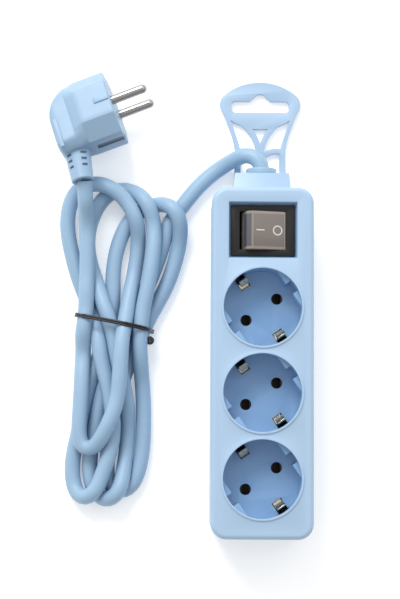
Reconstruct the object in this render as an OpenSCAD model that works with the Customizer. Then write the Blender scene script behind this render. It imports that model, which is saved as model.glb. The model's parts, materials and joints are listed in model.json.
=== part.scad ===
// Three-way mains extension block with a rocker switch, a hang tab,
// and its own tied-up lead and angled plug, lying on its back, face up.
// X runs across the block, +Y towards the hang tab, +Z out of the face.

/* [Body] */
// Width of the block
body_w = 51; // [50:1:64]
// Length of the block without its cable entry
body_l = 175; // [172:1:215]
// Height from the back to the face
body_h = 40; // [39:0.5:48]
// Thickness of the side walls
wall = 2; // [1.4:0.1:2.4]
// Thickness of the face
face_t = 2.2; // [1.6:0.1:2.6]
// Thickness of the back
back_t = 2; // [1.6:0.1:2.4]
// Corner radius seen from above
corner_r = 8; // [6:0.5:11]
// Rounding of the edge round the face
face_r = 2.5; // [1:0.5:3]
// Height of the base shell at its outer wall
base_h = 9; // [7:0.5:10]
// Overlap of the base shell's tongue into the cover
tongue_h = 2; // [1.5:0.5:2.5]
// Gap between parts that are assembled together
fit_gap = 0.15; // [0.1:0.05:0.3]

/* [Sockets] */
// Distance from one socket's centre to the next
socket_pitch = 42.5; // [42:0.5:46]
// Distance from the last socket's centre to the lower end
socket_end = 29.7; // [27:0.1:36]
// Inner diameter of a socket well
well_d = 39; // [38:0.5:40]
// Depth of a socket well
well_depth = 17.5; // [17:0.5:18.5]
// Wall thickness of a socket well
well_wall = 1.5; // [1.2:0.1:1.7]
// Thickness of a well's floor
floor_t = 2; // [1.6:0.1:2.4]
// Height of the raised lip round a well
lip_h = 0.6; // [0.3:0.1:1]
// Width of the raised lip round a well
lip_w = 1; // [0.7:0.1:1.2]
// Distance between the two pin holes
pin_pitch = 19; // [18.8:0.1:19.2]
// Diameter of a pin hole
pin_hole_d = 5.7; // [5.3:0.1:6]
// Turn of the pin line against the block's width
pin_turn = 35; // [30:1:45]
// Distance from a well's axis to its side flats
flat_reach = 16.3; // [16:0.1:17]
// Depth of the side flats' tops below the face
flat_drop = 3; // [2:0.5:6]
// Width of the key notch in a side flat
notch_w = 6; // [5:0.5:7]
// Width of an earth clip's slot
clip_slot_w = 5.4; // [5.2:0.1:6]

/* [Switch] */
// Distance from the first socket's centre to the switch's centre
switch_offset = 38.5; // [38:0.5:46]
// Width of the pocket at the face
pocket_w = 34.4; // [33.4:0.2:36]
// Length of the pocket at the face
pocket_l = 28.4; // [27.4:0.2:30]
// Depth of the pocket that the switch sits in
pocket_depth = 3; // [2:0.5:4]
// Width of the switch's bezel
bezel_w = 32; // [31:0.2:33]
// Length of the switch's bezel
bezel_l = 25.6; // [25:0.2:27]
// Width of the switch's body below the bezel
switch_w = 27.8; // [27.4:0.1:28.4]
// Length of the switch's body below the bezel
switch_l = 21.8; // [21.4:0.1:22.4]
// Radius of the rocker's ends about its pivot
rocker_r = 14; // [13:0.2:14]
// Width of the rocker
rocker_l = 19; // [18:0.2:19.2]
// Tilt of the rocker either side of level
rocker_tilt = 15; // [10:1:15]
// Tilt of the moving contacts either side of level
seesaw_tilt = 8; // [5:1:9]

/* [Cable entry] */
// Width of the entry block where it meets the body
entry_w = 29.5; // [27:0.5:33]
// Reach of the entry block from the body's end
entry_l = 9; // [7:0.5:12]
// Height of the entry block
entry_h = 27; // [25:0.5:30]
// Height of the cord's axis above the back
cord_z = 17; // [16:0.5:18]
// Diameter of the cord
cord_d = 8; // [7:0.5:9]
// Diameter of the bushing's collar
collar_d = 15.6; // [14:0.2:17]
// Reach of the bushing's collar from the entry block
collar_l = 3.5; // [2:0.5:6]

/* [Hang tab] */
// Reach of the hang tab from the body's end
tab_l = 61; // [58:1:64]
// Thickness of the hang tab
tab_t = 2.8; // [2:0.1:4]
// Length of the hang slot
slot_l = 30; // [28:0.5:32]
// Width of the hang slot
slot_w = 6.1; // [5:0.1:7]

/* [Plug] */
// Diameter of the plug's round front
plug_d = 37.4; // [36.5:0.1:38]
// Distance from the plug's axis to its flats
plug_flat = 16; // [15.6:0.1:16.2]
// Diameter of a plug pin
plug_pin_d = 4.8; // [4.7:0.02:4.86]
// Length of a plug pin
plug_pin_l = 19; // [18:0.5:19.5]
// Reach of the plug's body behind its face
plug_reach = 33.5; // [31:0.5:38]

/* [Hidden] */
$fn = 64;
eps = 0.01;

// The end that the lead leaves keeps its place, and a longer body grows from its foot
end_top = 57;
end_low = end_top - body_l;
body_mid = (end_low + end_top) / 2;
socket_y = [for (i = [0:2]) end_low + socket_end + (2 - i) * socket_pitch];
switch_y = socket_y[0] + switch_offset;
floor_z = body_h - well_depth;
under_z = floor_z - floor_t;
pocket_z = body_h - pocket_depth;
bezel_t = 2;
shelf_z = pocket_z - bezel_t;
shelf_t = 1.8;
pivot_z = pocket_z - 9;
lip_t = 1;

boss_x = body_w / 2 - 5.9;
boss_z = base_h + tongue_h + 1;
boss_r = 3.2;
boss_y = [(socket_y[0] + switch_y) / 2, (socket_y[1] + socket_y[2]) / 2];
boss_spots = [for (sx = [-1, 1], y = boss_y) [sx * boss_x, y]];
screw_r = 1.45;
screw_hole_r = 1.5;
screw_pass_r = 1.7;
head_r = 2.8;
head_h = 2;
head_z = 4;

bar_t = 1;
bar_z = 4.5;
bar_h = 5;
fork_h = 13;
fork_gap = 3.9;
fork_l = 7;
pin_x = pin_pitch / 2 * cos(pin_turn);
pin_y = pin_pitch / 2 * sin(pin_turn);
bar_low = socket_y[2] - 14;
bar_top = switch_y - switch_l / 2 - 2;

clip_t = 0.8;
clip_w = 4.6;
strap_z = under_z - 1.6;
earth_bar_z = strap_z - bar_t;
earth_top = socket_y[0] + 14;
rivet_r = 1.2;
slot_in = 13.4;
slot_out = well_d / 2 + 0.8;

entry_y = end_top + entry_l;
exit_y = entry_y + collar_l;
bush_r = 6.5;
bush_low = end_top - 4.4;
clamp_y = end_top - 7.6;
clamp_w = 22;
clamp_l = 5;
clamp_t = 2.4;
post_x = 8.2;
post_r = 2.5;
post_top = cord_z + 0.4;
sheath_low = clamp_y - clamp_l / 2 - 0.3;

tab_head_r = 29.2;
tab_low_r = 27.2;
tab_corner_r = 6.4;
tab_corner_x = 14.7;
tab_clip_x = 18.8;
tab_depth = 24.9;
strut_at = [23.2, -39.5];
strut_r = 21.3;
strut_w = 2.9;
arm_at = [8.5, -46];
arm_r = 8.4;
arm_w = 2.7;
leg_outer = [[20.4, -14.4], [18.5, -18.7], [16.7, -23.3], [15, -27.9], [13.8, -32.1],
    [13.2, -36], [13.1, -40.3], [13.3, -46]];
leg_inner = [[10.1, -46], [10.1, -40.3], [10.4, -36.2], [11.2, -32.6], [12.2, -29.5],
    [13.7, -25.2], [15.5, -20], [17, -15]];
leg_foot_x = [10.6, 13.6];
slot_mid = -13;
bump_r = 3.8;
bump_flare = 5.4;

lead_route = [
    [0, exit_y, cord_z],
    [0, exit_y + 1.4, cord_z],
    [-1.2, 73.4, 16.8],
    [-3.6, 75.8, 16],
    [-7.4, 77, 14.6],
    [-13, 76.2, 12.2],
    [-19, 73.2, 9.2],
    [-24.5, 69.5, 6.6],
    [-30, 64.6, 4.8],
    [-35.5, 58.5, 4.1],
    [-41, 51, 4.1],
    [-47, 43, 4.1]
];
tail_route = [
    [-91, 48, 20],
    [-91.2, 52, 20.6],
    [-91.4, 56, 21.6],
    [-91.6, 61.5, 23.2]
];
hank_h = 24;
hank_step_z = 16;
hank_step_y = 49;
hank_top = [[-86, 47, 17], [-52, 38, 15], [-62, 46, 16]];
hank_waist = [[-83, -6, 11], [-68, -8, 11]];
hank_low = [[-86, -87, 14], [-71, -87, 14]];
tie_at = [-75.5, -9.5];
tie_turn = -11;
tie_w = 43;
tie_d = 1.8;
knot_at = [-51.5, -16, 5];
knot_r = 2.2;

plug_at = [-75, 100.5, 19.8];
plug_roll = -14;
plug_pitch = 6;
plug_yaw = 20;
plug_side = 17.4;
plug_front = 18;
plug_half_t = 13;
plug_back_r = 17;
relief_at = [-26.6, -12, 0];
relief_lean = 7;
relief_l = 20;
relief_r1 = 6.8;
relief_r2 = 5.6;
bridge_r = 14.8;
bridge_t = 5;
shank_r = 2.2;
earth_hole_y = 10;
earth_hole_r = 2.5;
earth_pad_w = 5;
earth_pad_l = 15;
earth_pad_depth = 1.2;

// Shared shapes

module rounded_rect(w, l, r) {
    square([w - 2 * r, l], center = true);
    square([w, l - 2 * r], center = true);
    for (sx = [-1, 1], sy = [-1, 1])
        translate([sx * (w / 2 - r), sy * (l / 2 - r)]) circle(r);
}

module plate(w, l, h, r) {
    linear_extrude(h) rounded_rect(w, l, r);
}

// Half-section of a wall that ends in a rounded top edge
module edge_profile(reach, h, r) {
    square([reach, h - r]);
    square([reach - r, h]);
    translate([reach - r, h - r]) circle(r);
}

// A block with upright rounded corners and a rounded top edge
module soft_block(w, l, h, rc, re) {
    for (sx = [-1, 1], sy = [-1, 1])
        translate([sx * (w / 2 - rc), sy * (l / 2 - rc), 0])
            rotate_extrude() intersection() {
                edge_profile(rc, h, re);
                square([rc, h]);
            }
    for (m = [0, 1]) mirror([m, 0, 0])
        translate([0, l / 2 - rc, 0]) rotate([90, 0, 0])
            linear_extrude(l - 2 * rc) edge_profile(w / 2, h, re);
    for (m = [0, 1]) mirror([0, m, 0])
        translate([rc - w / 2, 0, 0]) rotate([90, 0, 90])
            linear_extrude(w - 2 * rc) edge_profile(l / 2, h, re);
}

module at_body() {
    translate([0, body_mid, 0]) children();
}

module at_sockets() {
    for (y = socket_y) translate([0, y, 0]) children();
}

module along_y(y0, y1, r) {
    translate([0, y0, cord_z]) rotate([-90, 0, 0]) cylinder(r = r, h = y1 - y0);
}

// A smooth curve through a route's points, and a tube swept along it

function blend_at(a, b, c, d, t) = 0.5 * (2 * b + (c - a) * t
    + (2 * a - 5 * b + 4 * c - d) * t * t + (3 * b - a - 3 * c + d) * t * t * t);

function smooth_route(points, steps) = concat(
    [for (i = [0:len(points) - 2], k = [0:steps - 1])
        blend_at(points[max(i - 1, 0)], points[i], points[i + 1],
            points[min(i + 2, len(points) - 1)], k / steps)],
    [points[len(points) - 1]]);

function unit(v) = v / norm(v);

function heading(line, i) = unit(line[min(i + 1, len(line) - 1)] - line[max(i - 1, 0)]);

module tube(route, d, steps, sides) {
    line = smooth_route(route, steps);
    count = len(line);
    rings = [for (i = [0:count - 1])
        let (ahead = heading(line, i), side = unit(cross(ahead, [0, 0, 1])),
            up = cross(side, ahead))
        for (k = [0:sides - 1])
            let (turn = 360 * k / sides)
            line[i] + d / 2 * (cos(turn) * side + sin(turn) * up)];
    walls = [for (i = [0:count - 2], k = [0:sides - 1])
        let (a = i * sides + k, b = i * sides + (k + 1) % sides)
        [a, a + sides, b + sides, b]];
    first = [for (k = [0:sides - 1]) k];
    last = [for (k = [sides - 1:-1:0]) (count - 1) * sides + k];
    polyhedron(points = rings, faces = concat([first], [last], walls));
}

// The cover: face, walls, wells, switch pocket, bosses and the upper entry block

module well_outside() {
    translate([0, 0, under_z]) cylinder(d = well_d + 2 * well_wall, h = body_h - under_z);
    cylinder(d = well_d + 2 * lip_w, h = body_h + lip_h);
}

module well_flats() {
    for (turn = [pin_turn, pin_turn + 180]) rotate(turn) difference() {
        translate([0, 0, floor_z - eps]) intersection() {
            cylinder(d = well_d + well_wall, h = well_depth - flat_drop + eps);
            translate([flat_reach, -well_d / 2, 0])
                cube([well_d / 2, well_d, well_depth]);
        }
        translate([0, -notch_w / 2, floor_z])
            cube([well_d / 2, notch_w, well_depth]);
    }
}

module clip_slots() {
    for (turn = [pin_turn + 90, pin_turn - 90]) rotate(turn) {
        translate([slot_in, -clip_slot_w / 2, under_z - 1])
            cube([slot_out - slot_in, clip_slot_w, floor_t + 2]);
        translate([slot_in, -clip_slot_w / 2, floor_z - eps])
            cube([slot_out - slot_in, clip_slot_w, well_depth - 5]);
    }
}

module entry_half(z0, z1, w) {
    linear_extrude(z1 - z0) polygon([[-w / 2, -wall], [w / 2, -wall], [w / 2, 0],
        [w / 2 - 1, entry_l], [1 - w / 2, entry_l], [-w / 2, 0]]);
}

module top_cover() color("#b0cbe8") difference() {
    union() {
        difference() {
            at_body() soft_block(body_w, body_l, body_h, corner_r, face_r);
            at_body() translate([0, 0, -1])
                plate(body_w - 2 * wall, body_l - 2 * wall, body_h - face_t + 1,
                    corner_r - wall);
            at_body() translate([0, 0, -1])
                plate(body_w + 1, body_l + 1, base_h + 1, corner_r);
        }
        at_sockets() intersection() {
            well_outside();
            translate([0, 0, under_z]) cylinder(d = body_w, h = body_h);
        }
        translate([0, switch_y, shelf_z - shelf_t])
            plate(pocket_w + 2, pocket_l + 2, body_h - face_t - shelf_z + shelf_t + eps, 1);
        for (p = boss_spots) translate([p[0], p[1], boss_z])
            cylinder(r = boss_r, h = body_h - face_t - boss_z + eps);
        translate([0, end_top, cord_z]) entry_half(cord_z, entry_h, entry_w);
    }
    at_sockets() difference() {
        translate([0, 0, floor_z]) cylinder(d = well_d, h = body_h);
        well_flats();
    }
    at_sockets() rotate(pin_turn) for (s = [-1, 1])
        translate([s * pin_pitch / 2, 0, under_z - 1])
            cylinder(d = pin_hole_d, h = floor_t + 2);
    at_sockets() clip_slots();
    translate([0, switch_y, 0]) {
        hull() {
            translate([0, 0, body_h + eps]) plate(pocket_w, pocket_l, eps, 0.5);
            translate([0, 0, pocket_z - 1]) plate(pocket_w - 1.6, pocket_l - 2, eps, 0.5);
        }
        translate([0, 0, shelf_z])
            plate(bezel_w + 2 * fit_gap, bezel_l + 2 * fit_gap, pocket_depth + bezel_t, 0.6);
        translate([0, 0, shelf_z - shelf_t - 1])
            plate(switch_w + 2 * fit_gap, switch_l + 2 * fit_gap, shelf_t + 2, 0.5);
    }
    for (p = boss_spots) translate([p[0], p[1], boss_z - 1])
        cylinder(r = screw_hole_r, h = 14);
    along_y(bush_low - 1, entry_y + 1, bush_r + fit_gap / 3);
    translate([0, end_top - wall / 2, (base_h + cord_z) / 2 - 1])
        cube([entry_w + 2 * fit_gap, wall + 0.02, cord_z - base_h + 2], center = true);
}

// The base: tray, tongue, screw towers, clamp posts, lower entry block, hang tab

module tab_lens() {
    translate([0, -tab_head_r]) intersection() {
        circle(tab_head_r);
        translate([0, tab_head_r + tab_low_r - tab_depth]) circle(tab_low_r);
        square([2 * tab_clip_x, 4 * tab_head_r], center = true);
    }
    for (s = [-1, 1])
        translate([s * tab_corner_x, -tab_head_r + sqrt(pow(tab_head_r - tab_corner_r, 2)
            - pow(tab_corner_x, 2))]) circle(tab_corner_r);
}

module ring_piece(at, r, w, low, high) {
    intersection() {
        translate(at) difference() {
            circle(r + w);
            circle(r);
        }
        polygon([[0, low], [high[0], low], high, [0, high[1]]]);
    }
}

module tab_half() {
    foot = entry_l - tab_l - 1;
    polygon(concat(leg_outer, [[leg_foot_x[1], foot], [leg_foot_x[0], foot]], leg_inner));
    ring_piece(strut_at, strut_r, strut_w, strut_at[1], [17, -19]);
    ring_piece(arm_at, arm_r, arm_w, arm_at[1] + 3, [11, -30]);
    translate([0, -41]) square([2.6, 3]);
}

module hang_slot() {
    translate([0, slot_mid]) rounded_rect(slot_l, slot_w, 1.9);
    translate([0, slot_mid + slot_w / 2]) {
        circle(bump_r);
        polygon([[-bump_flare, -1], [bump_flare, -1], [bump_flare, 0], [3.3, 1.9],
            [-3.3, 1.9], [-bump_flare, 0]]);
    }
}

module hang_tab() {
    translate([0, end_top + tab_l, 0]) linear_extrude(tab_t) difference() {
        union() {
            tab_lens();
            for (m = [0, 1]) mirror([m, 0]) tab_half();
        }
        hang_slot();
    }
}

module tongue() {
    at_body() translate([0, 0, back_t]) difference() {
        plate(body_w - 2 * wall - 2 * fit_gap, body_l - 2 * wall - 2 * fit_gap,
            base_h + tongue_h - back_t, corner_r - wall - fit_gap);
        translate([0, 0, -1]) plate(body_w - 2 * wall - 2, body_l - 2 * wall - 2,
            base_h + tongue_h, corner_r - wall - 1);
    }
}

module base_shell() color("#a9c6e4") difference() {
    union() {
        at_body() difference() {
            plate(body_w, body_l, base_h, corner_r);
            translate([0, 0, back_t])
                plate(body_w - 2 * wall, body_l - 2 * wall, base_h, corner_r - wall);
        }
        tongue();
        for (p = boss_spots) translate([p[0], p[1], 0])
            cylinder(r = boss_r + 0.2, h = boss_z);
        for (s = [-1, 1]) translate([s * post_x, clamp_y, back_t - eps])
            cylinder(r = post_r, h = post_top - back_t);
        translate([0, end_top, 0]) entry_half(0, cord_z, entry_w);
        hang_tab();
    }
    for (p = boss_spots) translate([p[0], p[1], -1]) {
        cylinder(r = head_r + 0.3, h = head_z + 1);
        cylinder(r = screw_pass_r, h = boss_z + 2);
    }
    for (s = [-1, 1]) translate([s * post_x, clamp_y, back_t + 2])
        cylinder(r = screw_pass_r - 0.4, h = cord_z);
    along_y(bush_low - 1, entry_y + 1, bush_r + fit_gap / 3);
    translate([0, clamp_y, cord_z]) rotate([-90, 0, 0])
        cylinder(d = cord_d, h = 12, center = true);
}

module screw(length, head) {
    difference() {
        union() {
            cylinder(r = head, h = head_h);
            cylinder(r = screw_r * head / head_r, h = length);
        }
        for (turn = [0, 90]) rotate(turn)
            cube([head * 1.2, 0.7, head_h], center = true);
    }
}

module housing_screws() color("#b9bcc0") for (p = boss_spots)
    translate([p[0], p[1], head_z - head_h]) screw(boss_z + 10 - head_z, head_r);

// The cord's way in: bushing, inner sheath, clamp and its screws

module cord_bushing() color("#9fbfe0") difference() {
    union() {
        along_y(bush_low, exit_y - 0.5, bush_r);
        along_y(entry_y, exit_y, collar_d / 2);
    }
    along_y(bush_low - 1, exit_y + 1, cord_d / 2);
}

module inner_sheath() color("#96b9d7") along_y(sheath_low, exit_y, cord_d / 2);

clamp_low = cord_z + cord_d / 2;

module cord_clamp() color("#e8e6df") difference() {
    translate([-clamp_w / 2, clamp_y - clamp_l / 2, post_top])
        cube([clamp_w, clamp_l, clamp_low + clamp_t - post_top]);
    translate([0, clamp_y, cord_z]) rotate([-90, 0, 0])
        cylinder(d = cord_d, h = clamp_l + 2, center = true);
    translate([-cord_d / 2, clamp_y - clamp_l, post_top - 1])
        cube([cord_d, 2 * clamp_l, cord_z - post_top + 1]);
    for (s = [-1, 1]) translate([s * post_x, clamp_y, post_top - 1])
        cylinder(r = screw_pass_r, h = 12);
}

module clamp_screws() color("#b9bcc0") for (s = [-1, 1])
    translate([s * post_x, clamp_y, clamp_low + clamp_t + head_h]) mirror([0, 0, 1])
        screw(12, 2.3);

// Contacts: three bars with forks for the pins, and the earth clips

module fork(x, y) {
    for (s = [-1, 1]) translate([x + s * (fork_gap + bar_t) / 2, y, bar_z + fork_h / 2])
        cube([bar_t, fork_l, fork_h], center = true);
    translate([x, y, bar_z + bar_t / 2])
        cube([fork_gap + 2 * bar_t, fork_l, bar_t], center = true);
}

module pin_bar(side) {
    x = side * pin_x;
    translate([x - bar_h / 2, bar_low, bar_z]) cube([bar_h, bar_top - bar_low, bar_t]);
    for (y = socket_y) fork(x, y + side * pin_y);
}

module live_bar() color("#c8a24a") pin_bar(1);

module neutral_bar() color("#c8a24a") pin_bar(-1);

module earth_bar() color("#c8a24a") difference() {
    translate([-3, socket_y[2] - 4, earth_bar_z])
        cube([6, earth_top - socket_y[2] + 4, bar_t]);
    for (y = socket_y) translate([0, y, earth_bar_z - 1]) cylinder(r = rivet_r, h = 4);
}

// One sprung arm's side view: up through the floor, then bent towards the plug
clip_arm = [[0, 0], [17.6, 0], [17.6, 7], [15.4, 11.6], [17.4, 15.4],
    [16.6, 15.8], [14.4, 11.6], [16.8, 6.8], [16.8, 0.8], [0, 0.8]];

module earth_clip(i) color("#c8a24a") translate([0, socket_y[i], strap_z]) difference() {
    for (turn = [pin_turn + 90, pin_turn - 90]) rotate(turn)
        translate([0, clip_w / 2, 0]) rotate([90, 0, 0])
            linear_extrude(clip_w) polygon(clip_arm);
    translate([0, 0, -1]) cylinder(r = rivet_r, h = 4);
}

module earth_rivets() color("#d8b765") for (y = socket_y)
    translate([0, y, earth_bar_z - 0.6]) {
        cylinder(r = 1.9, h = 0.6);
        cylinder(r = rivet_r, h = 0.6 + bar_t + clip_t);
        translate([0, 0, 0.6 + bar_t + clip_t]) cylinder(r = 1.9, h = 0.6);
    }

// The switch: housing, rocker, sprung plungers, moving contacts and terminals

plunger_y = 5;
pivot_r = 1.5;
pivot_gap = 0.05;
rocker_wall = 1.3;
rocker_end = 50;
rocker_side = 10.9;
rocker_low = 0.5;
rocker_top = sqrt(pow(rocker_r, 2) - pow(8.5, 2));
cavity_w = switch_w - 2;
cavity_l = switch_l - 2;
housing_low = shelf_z - 16;
seesaw_z = housing_low + 3.2;
terminal_x = 7;
ear_r = 3;
housing_floor = 1.4;
terminal_t = 0.8;
terminal_w = 4.8;
terminal_low = housing_low - 7;
strip_w = 4.4;
hub_r = 0.7;
lamp_r = 1.6;
lamp_h = 2.6;

module at_switch() {
    translate([0, switch_y, 0]) children();
}

module switch_housing() color("#26282b") at_switch() difference() {
    union() {
        translate([0, 0, shelf_z]) plate(bezel_w, bezel_l, bezel_t, 0.6);
        translate([0, 0, housing_low]) plate(switch_w, switch_l, shelf_z - housing_low + eps, 0.5);
    }
    translate([0, 0, housing_low + housing_floor]) plate(cavity_w, cavity_l,
        pocket_z - lip_t - housing_low - housing_floor, 0.4);
    translate([0, 0, pocket_z - lip_t - eps])
        plate(2 * 11.7, rocker_l + 0.4, lip_t + 1, 0.4);
    translate([0, 0, pivot_z]) rotate([90, 0, 0])
        cylinder(r = pivot_r + pivot_gap, h = switch_l + 2, center = true);
    for (sx = [0, 1], sy = [-1, 1])
        translate([sx * (terminal_x + terminal_t / 2), sy * plunger_y, housing_low])
            cube([terminal_t + 0.2, terminal_w + 0.4, 4 * housing_floor], center = true);
}

// Rocker section, level, with its pivot at the origin
module rocker_section(inset) {
    r = rocker_r - inset;
    top = rocker_top - inset;
    half_top = sqrt(r * r - top * top);
    side = rocker_side - inset;
    intersection() {
        translate([-side, rocker_low - (inset > 0 ? 1 : 0)])
            square([2 * side, top - rocker_low + (inset > 0 ? 1 : 0)]);
        circle(r, $fn = 96);
    }
}

module tilted() {
    at_switch() translate([0, 0, pivot_z]) rotate([0, rocker_tilt, 0]) children();
}

module rocker() color("#96877f") tilted() {
    difference() {
        rotate([90, 0, 0]) linear_extrude(rocker_l, center = true) rocker_section(0);
        rotate([90, 0, 0]) linear_extrude(rocker_l - 2 * rocker_wall, center = true)
            rocker_section(rocker_wall);
    }
    for (s = [-1, 1]) translate([0, s * (rocker_l / 2 + 0.45), 0]) rotate([90, 0, 0])
        cylinder(r = pivot_r, h = 0.9 + eps, center = true);
    for (s = [-1, 1]) translate([0, s * (rocker_l - rocker_wall) / 2, 0]) rotate([90, 0, 0])
        cylinder(r = ear_r, h = rocker_wall, center = true);
    for (s = [-1, 1]) translate([0, s * plunger_y, 1]) difference() {
        cylinder(r = 2.6, h = rocker_top - rocker_wall - 1 + eps);
        translate([0, 0, -1]) cylinder(r = 1.6, h = 7);
    }
}

module plungers() color("#e9e4d8") tilted() for (s = [-1, 1])
    translate([0, s * plunger_y, -3.4]) {
        cylinder(r = 1.5, h = 6);
        sphere(1.5);
    }

module plunger_springs() color("#c2c5c9") tilted() for (s = [-1, 1])
    translate([0, s * plunger_y, 2.6]) for (i = [0:4])
        translate([0, 0, 0.35 + i * 0.76]) rotate_extrude() translate([1.1, 0]) circle(0.3);

// A bent strip with a round hub on its pivot and a contact button under one end
module seesaw_contacts() color("#cf9f5a") at_switch() for (s = [-1, 1])
    translate([0, s * plunger_y, seesaw_z]) rotate([0, -seesaw_tilt, 0]) {
        rotate([90, 0, 0]) linear_extrude(strip_w, center = true) {
            polygon([[-7.5, 0.9], [-2.2, -0.2], [2.2, -0.2], [8.8, 0.9], [8.8, 1.7],
                [2.2, 0.6], [-2.2, 0.6], [-7.5, 1.7]]);
            circle(hub_r);
        }
        translate([terminal_x + terminal_t / 2, 0, -0.2]) cylinder(r = 1.1, h = 1.2);
    }

module switch_terminals() color("#c9ccd0") at_switch() for (s = [-1, 1])
    translate([0, s * plunger_y, 0]) {
        translate([-terminal_t / 2, -terminal_w / 2, terminal_low])
            cube([terminal_t, terminal_w, seesaw_z - hub_r - 0.15 - terminal_low]);
        translate([terminal_x, -terminal_w / 2, terminal_low])
            cube([terminal_t, terminal_w, housing_low + housing_floor + 0.1 - terminal_low]);
        translate([terminal_x + terminal_t / 2, 0, housing_low + housing_floor])
            cylinder(r = 1.3, h = 0.4);
    }

module indicator_lamp() color("#ffb27a") at_switch()
    translate([-9, 0, housing_low + housing_floor]) {
        cylinder(r = lamp_r, h = lamp_h);
        translate([0, 0, lamp_h]) sphere(lamp_r);
    }

// Wires between the cord, the switch and the bars

term_z = housing_low - 4.8;
core_d = 2.6;
core_x = 1.9;
core_z = cord_z - 0.8;
bar_mid_z = bar_z + bar_t / 2;
live_y = switch_y + plunger_y;
neutral_y = switch_y - plunger_y;

module core(route) tube(route, core_d, 2, 8);

module live_wire() color("#6b3f22") core([
    [core_x, sheath_low, core_z],
    [core_x + 1.6, sheath_low - 1.8, core_z - 0.6],
    [4.2, live_y + 1.8, term_z + 0.4],
    [2.4, live_y, term_z],
    [0.4, live_y, term_z]]);

module neutral_wire() color("#2b62b4") core([
    [-core_x, sheath_low, core_z],
    [-4, sheath_low - 2.4, core_z - 0.6],
    [-5, neutral_y + 7, term_z + 0.4],
    [-3, neutral_y, term_z],
    [-0.4, neutral_y, term_z]]);

module earth_wire() color("#6aa63a") core([
    [0, sheath_low, core_z - 2.3],
    [-3, sheath_low - 3, 11],
    [-8, switch_y + 3, 8.5],
    [-10, switch_y - 5, 8],
    [-8, switch_y - 14, 10.5],
    [-2, earth_top + 4.5, earth_bar_z - 1.4],
    [0, earth_top + 2, earth_bar_z + bar_t / 2],
    [0, earth_top, earth_bar_z + bar_t / 2]]);

module switched_live_wire() color("#6b3f22") core([
    [terminal_x + 0.8, live_y, term_z],
    [terminal_x + 3, live_y, term_z],
    [12.5, live_y - 5, 12],
    [12, bar_top + 6, 8],
    [pin_x, bar_top + 2.4, bar_mid_z],
    [pin_x, bar_top, bar_mid_z]]);

module switched_neutral_wire() color("#2b62b4") core([
    [terminal_x + 0.8, neutral_y, term_z],
    [terminal_x + 2.2, neutral_y, term_z],
    [7, neutral_y - 3.6, 11],
    [0, bar_top + 4.5, 7.5],
    [-pin_x, bar_top + 2.6, bar_mid_z],
    [-pin_x, bar_top, bar_mid_z]]);

// The free lead: tube, hank, tail and tie

module cord_lead() color("#96b9d7") tube(lead_route, cord_d, 2, 10);

module cord_tail() color("#96b9d7") tube(tail_route, cord_d, 1, 10);

module hank_outline() {
    hull() for (c = concat(hank_top, hank_waist)) translate([c[0], c[1]]) circle(c[2], $fn = 32);
    hull() for (c = concat(hank_low, hank_waist)) translate([c[0], c[1]]) circle(c[2], $fn = 32);
}

module tie_ring() {
    translate([tie_at[0], tie_at[1], hank_h / 2]) rotate([90, 0, tie_turn])
        linear_extrude(tie_d, center = true) difference() {
            rounded_rect(tie_w, hank_h, 6);
            rounded_rect(tie_w - 2 * tie_d, hank_h - 2 * tie_d, 4.2);
        }
}

module cord_hank() color("#96b9d7") difference() {
    linear_extrude(hank_h) hank_outline();
    translate([-150, hank_step_y, hank_step_z]) cube([150, 100, hank_h]);
    tie_ring();
}

module cord_tie() color("#2f2d33") {
    tie_ring();
    translate(knot_at) sphere(knot_r);
    translate([-55.2, -13.6, 5]) rotate([90, 0, 30]) cylinder(d = tie_d, h = 4);
}

// The plug, drawn with its pins along X, its pin line along Z, its lead along -Y

module at_plug() {
    translate(plug_at) rotate([0, 0, plug_yaw]) rotate([0, -plug_pitch, 0])
        rotate([plug_roll, 0, 0]) children();
}

module along_x(x0, x1, r) {
    translate([x0, 0, 0]) rotate([0, 90, 0]) cylinder(r = r, h = x1 - x0);
}

module plug_grip() {
    translate([plug_back_r - plug_reach, plug_side - plug_back_r]) circle(plug_back_r);
    translate([-plug_reach, 3 - plug_side]) square([plug_reach - 6, plug_side - 3]);
    translate([3 - plug_reach, -plug_side]) square([plug_reach - 9, plug_side]);
    translate([3 - plug_reach, 3 - plug_side]) circle(3);
    translate([plug_back_r - plug_reach, -plug_side]) square([plug_reach - plug_back_r - 6,
        2 * plug_side]);
}

module relief_run(r1, r2, l) {
    translate(relief_at) rotate([90, 0, -relief_lean]) cylinder(r1 = r1, r2 = r2, h = l);
}

// Two pads let into the plug's flattened sides, from its face backwards
module earth_pad(t, l, w) {
    for (s = [-1, 1]) translate([-l / 2, s * (plug_side - earth_pad_depth + t / 2), 0])
        cube([l + eps, t, w], center = true);
}

module plug_body() color("#a8c8e8") at_plug() difference() {
    union() {
        intersection() {
            along_x(-plug_front, 0, plug_d / 2);
            translate([-plug_front, -plug_side, -plug_flat])
                cube([plug_front, 2 * plug_side, 2 * plug_flat]);
        }
        translate([0, 0, -plug_half_t]) linear_extrude(2 * plug_half_t) plug_grip();
        relief_run(relief_r1, relief_r2, relief_l);
        for (s = [-1, 1]) translate([-8, -1.7, s * (plug_flat + 0.1) - 0.6])
            cube([8, 3.4, 1.2]);
    }
    along_x(-bridge_t, 1, bridge_r);
    relief_run(cord_d / 2, cord_d / 2, relief_l + 1);
    earth_pad(earth_pad_depth, earth_pad_l, earth_pad_w);
}

module plug_bridge() color("#b9cfe6") at_plug() difference() {
    along_x(-bridge_t, 0, bridge_r);
    for (s = [-1, 1]) translate([0, 0, s * pin_pitch / 2]) along_x(-bridge_t - 1, 1, shank_r);
    translate([0, earth_hole_y, 0]) along_x(-bridge_t - 1, 1, earth_hole_r + 0.4);
}

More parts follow.
